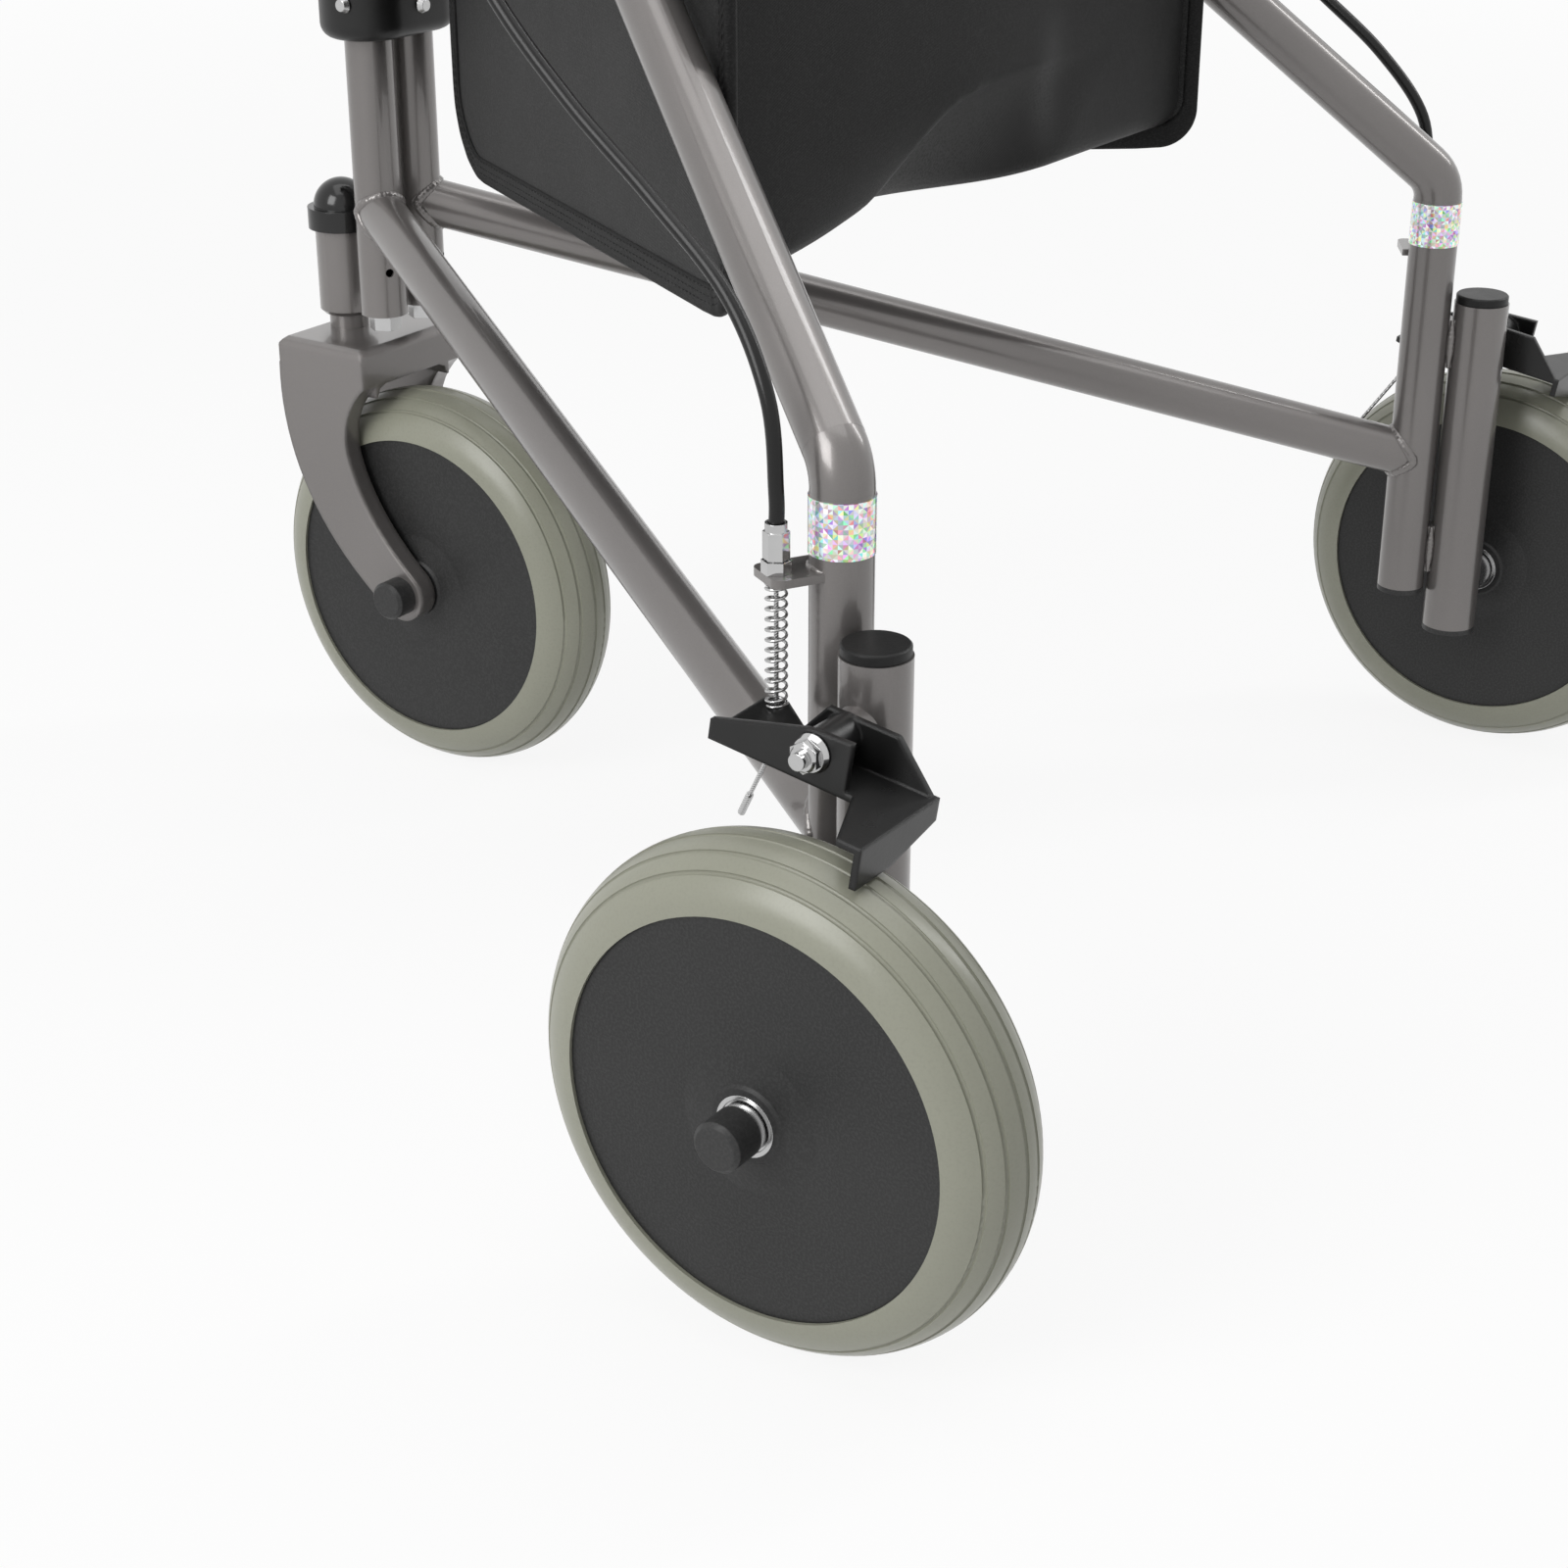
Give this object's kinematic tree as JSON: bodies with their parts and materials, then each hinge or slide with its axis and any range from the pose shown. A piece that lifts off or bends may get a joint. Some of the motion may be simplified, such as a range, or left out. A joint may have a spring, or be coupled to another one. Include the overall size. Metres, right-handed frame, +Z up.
{
  "type": "three wheel rollator",
  "caption": "Folding three wheel walking frame with splayed tube side frames, swivelling front wheel, cable brakes on the rear wheels, sliding handles and a soft bag.",
  "frame": {"origin": "middle of the bounding box on the floor", "axes": "+Z up, +Y toward the user at the back, +X toward the user's left"},
  "size_m": [0.72, 0.6076, 0.9314],
  "materials": {
    "frame_paint": "warm grey metallic gloss paint",
    "black_paint": "satin black powder coat",
    "zinc_steel": "bright zinc",
    "chrome_fittings": "polished plating",
    "black_plastic": "fine satin",
    "wheel_plastic": "fine satin",
    "grey_tyre": "smooth soft polyurethane",
    "cable_sheath": "smooth sheath",
    "grip_rubber": "matte",
    "bag_vinyl": "coated cloth with bound edges",
    "reflector_film": "prismatic reflective film"
  },
  "bodies": {
    "head": {"head_bracket": "frame_paint", "head_cap": "black_plastic", "lower_hinge_block": "black_plastic", "upper_hinge_block": "black_plastic", "hinge_screws": "zinc_steel", "bag": "bag_vinyl"},
    "fold_clamp": {"fold_clamp_knob": "black_plastic"},
    "fork": {"front_fork": "frame_paint", "fork_stem": "black_paint", "front_axle": "zinc_steel", "front_axle_caps": "black_plastic"},
    "front_wheel": {"front_tyre": "grey_tyre", "front_wheel_disc": "wheel_plastic", "front_wheel_bearings": "zinc_steel"},
    "left_frame": {"left_front_tube": "frame_paint", "left_main_tube": "frame_paint", "left_lower_rail": "frame_paint", "left_axle_tube": "frame_paint", "left_reflector": "reflector_film", "left_plastic_caps": "black_plastic", "left_foot_bolt": "zinc_steel", "left_rear_axle": "zinc_steel", "left_cable_adjuster": "chrome_fittings", "left_brake_cable": "cable_sheath", "left_brake_wire": "zinc_steel", "left_brake_spring": "chrome_fittings", "left_brake_pivot_bolt": "chrome_fittings"},
    "left_brake": {"left_brake_arm": "black_paint"},
    "left_wheel": {"left_rear_tyre": "grey_tyre", "left_rear_wheel_disc": "wheel_plastic", "left_rear_wheel_bearings": "zinc_steel"},
    "left_handle": {"left_handle_tube": "frame_paint", "left_hand_grip": "grip_rubber", "left_lever_housing": "black_plastic"},
    "left_lever": {"left_brake_lever": "black_plastic"},
    "left_knob": {"left_height_knob": "black_plastic"},
    "right_frame": {"right_front_tube": "frame_paint", "right_main_tube": "frame_paint", "right_lower_rail": "frame_paint", "right_axle_tube": "frame_paint", "right_reflector": "reflector_film", "right_plastic_caps": "black_plastic", "right_foot_bolt": "zinc_steel", "right_rear_axle": "zinc_steel", "right_cable_adjuster": "chrome_fittings", "right_brake_cable": "cable_sheath", "right_brake_wire": "zinc_steel", "right_brake_spring": "chrome_fittings", "right_brake_pivot_bolt": "chrome_fittings"},
    "right_brake": {"right_brake_arm": "black_paint"},
    "right_wheel": {"right_rear_tyre": "grey_tyre", "right_rear_wheel_disc": "wheel_plastic", "right_rear_wheel_bearings": "zinc_steel"},
    "right_handle": {"right_handle_tube": "frame_paint", "right_hand_grip": "grip_rubber", "right_lever_housing": "black_plastic"},
    "right_lever": {"right_brake_lever": "black_plastic"},
    "right_knob": {"right_height_knob": "black_plastic"}
  },
  "joints": [
    {"name": "caster_swivel", "type": "hinge", "parent": "head", "child": "fork", "pos_m": [0, -0.26389, 0.24], "axis": [0, 0, 1], "continuous": true},
    {"name": "front_wheel_spin", "type": "hinge", "parent": "fork", "child": "front_wheel", "pos_m": [0, -0.20879, 0.095], "axis": [1, 0, 0], "continuous": true},
    {"name": "fold_clamp_turn", "type": "hinge", "parent": "head", "child": "fold_clamp", "pos_m": [0, -0.21159, 0.602], "axis": [1, 0, 0], "continuous": true},
    {"name": "left_frame_fold", "type": "hinge", "parent": "head", "child": "left_frame", "pos_m": [0.01385, -0.22769, 0.45], "axis": [0, 0, 1], "range_deg": [0, 26], "deforming": ["bag"]},
    {"name": "left_wheel_spin", "type": "hinge", "parent": "left_frame", "child": "left_wheel", "pos_m": [0.3185, 0.20879, 0.095], "axis": [1, 0, 0], "continuous": true},
    {"name": "left_brake_press", "type": "hinge", "parent": "left_frame", "child": "left_brake", "pos_m": [0.2935, 0.20879, 0.215], "axis": [-1, 0, 0], "range_deg": [0, 1.08], "deforming": ["left_brake_spring", "left_brake_wire"]},
    {"name": "left_handle_height", "type": "slide", "parent": "left_frame", "child": "left_handle", "axis": [0, 0, 1], "range_m": [-0.055, 0.06], "deforming": ["left_brake_cable"]},
    {"name": "left_lever_squeeze", "type": "hinge", "parent": "left_handle", "child": "left_lever", "pos_m": [0.15745, 0.02104, 0.86252], "axis": [0.866, -0.5, 0], "range_deg": [0, 6], "stiffness_Nm_per_rad": 8},
    {"name": "left_knob_turn", "type": "hinge", "parent": "left_frame", "child": "left_knob", "pos_m": [0.03983, -0.24269, 0.656], "axis": [0.866, -0.5, 0], "continuous": true},
    {"name": "right_frame_fold", "type": "hinge", "parent": "head", "child": "right_frame", "pos_m": [-0.01385, -0.22769, 0.45], "axis": [0, 0, -1], "range_deg": [0, 26], "deforming": ["bag"]},
    {"name": "right_wheel_spin", "type": "hinge", "parent": "right_frame", "child": "right_wheel", "pos_m": [-0.3185, 0.20879, 0.095], "axis": [1, 0, 0], "continuous": true},
    {"name": "right_brake_press", "type": "hinge", "parent": "right_frame", "child": "right_brake", "pos_m": [-0.2935, 0.20879, 0.215], "axis": [-1, 0, 0], "range_deg": [0, 1.08], "deforming": ["right_brake_spring", "right_brake_wire"]},
    {"name": "right_handle_height", "type": "slide", "parent": "right_frame", "child": "right_handle", "axis": [0, 0, 1], "range_m": [-0.055, 0.06], "deforming": ["right_brake_cable"]},
    {"name": "right_lever_squeeze", "type": "hinge", "parent": "right_handle", "child": "right_lever", "pos_m": [-0.15745, 0.02104, 0.86252], "axis": [0.866, 0.5, 0], "range_deg": [0, 6], "stiffness_Nm_per_rad": 8},
    {"name": "right_knob_turn", "type": "hinge", "parent": "right_frame", "child": "right_knob", "pos_m": [-0.03983, -0.24269, 0.656], "axis": [-0.866, -0.5, 0], "continuous": true}
  ],
  "couplings": [
    {"joint": "left_brake_press", "follows": "left_lever_squeeze", "ratio": 0.18},
    {"joint": "right_brake_press", "follows": "right_lever_squeeze", "ratio": 0.18},
    {"joint": "right_frame_fold", "follows": "left_frame_fold", "ratio": 1}
  ]
}
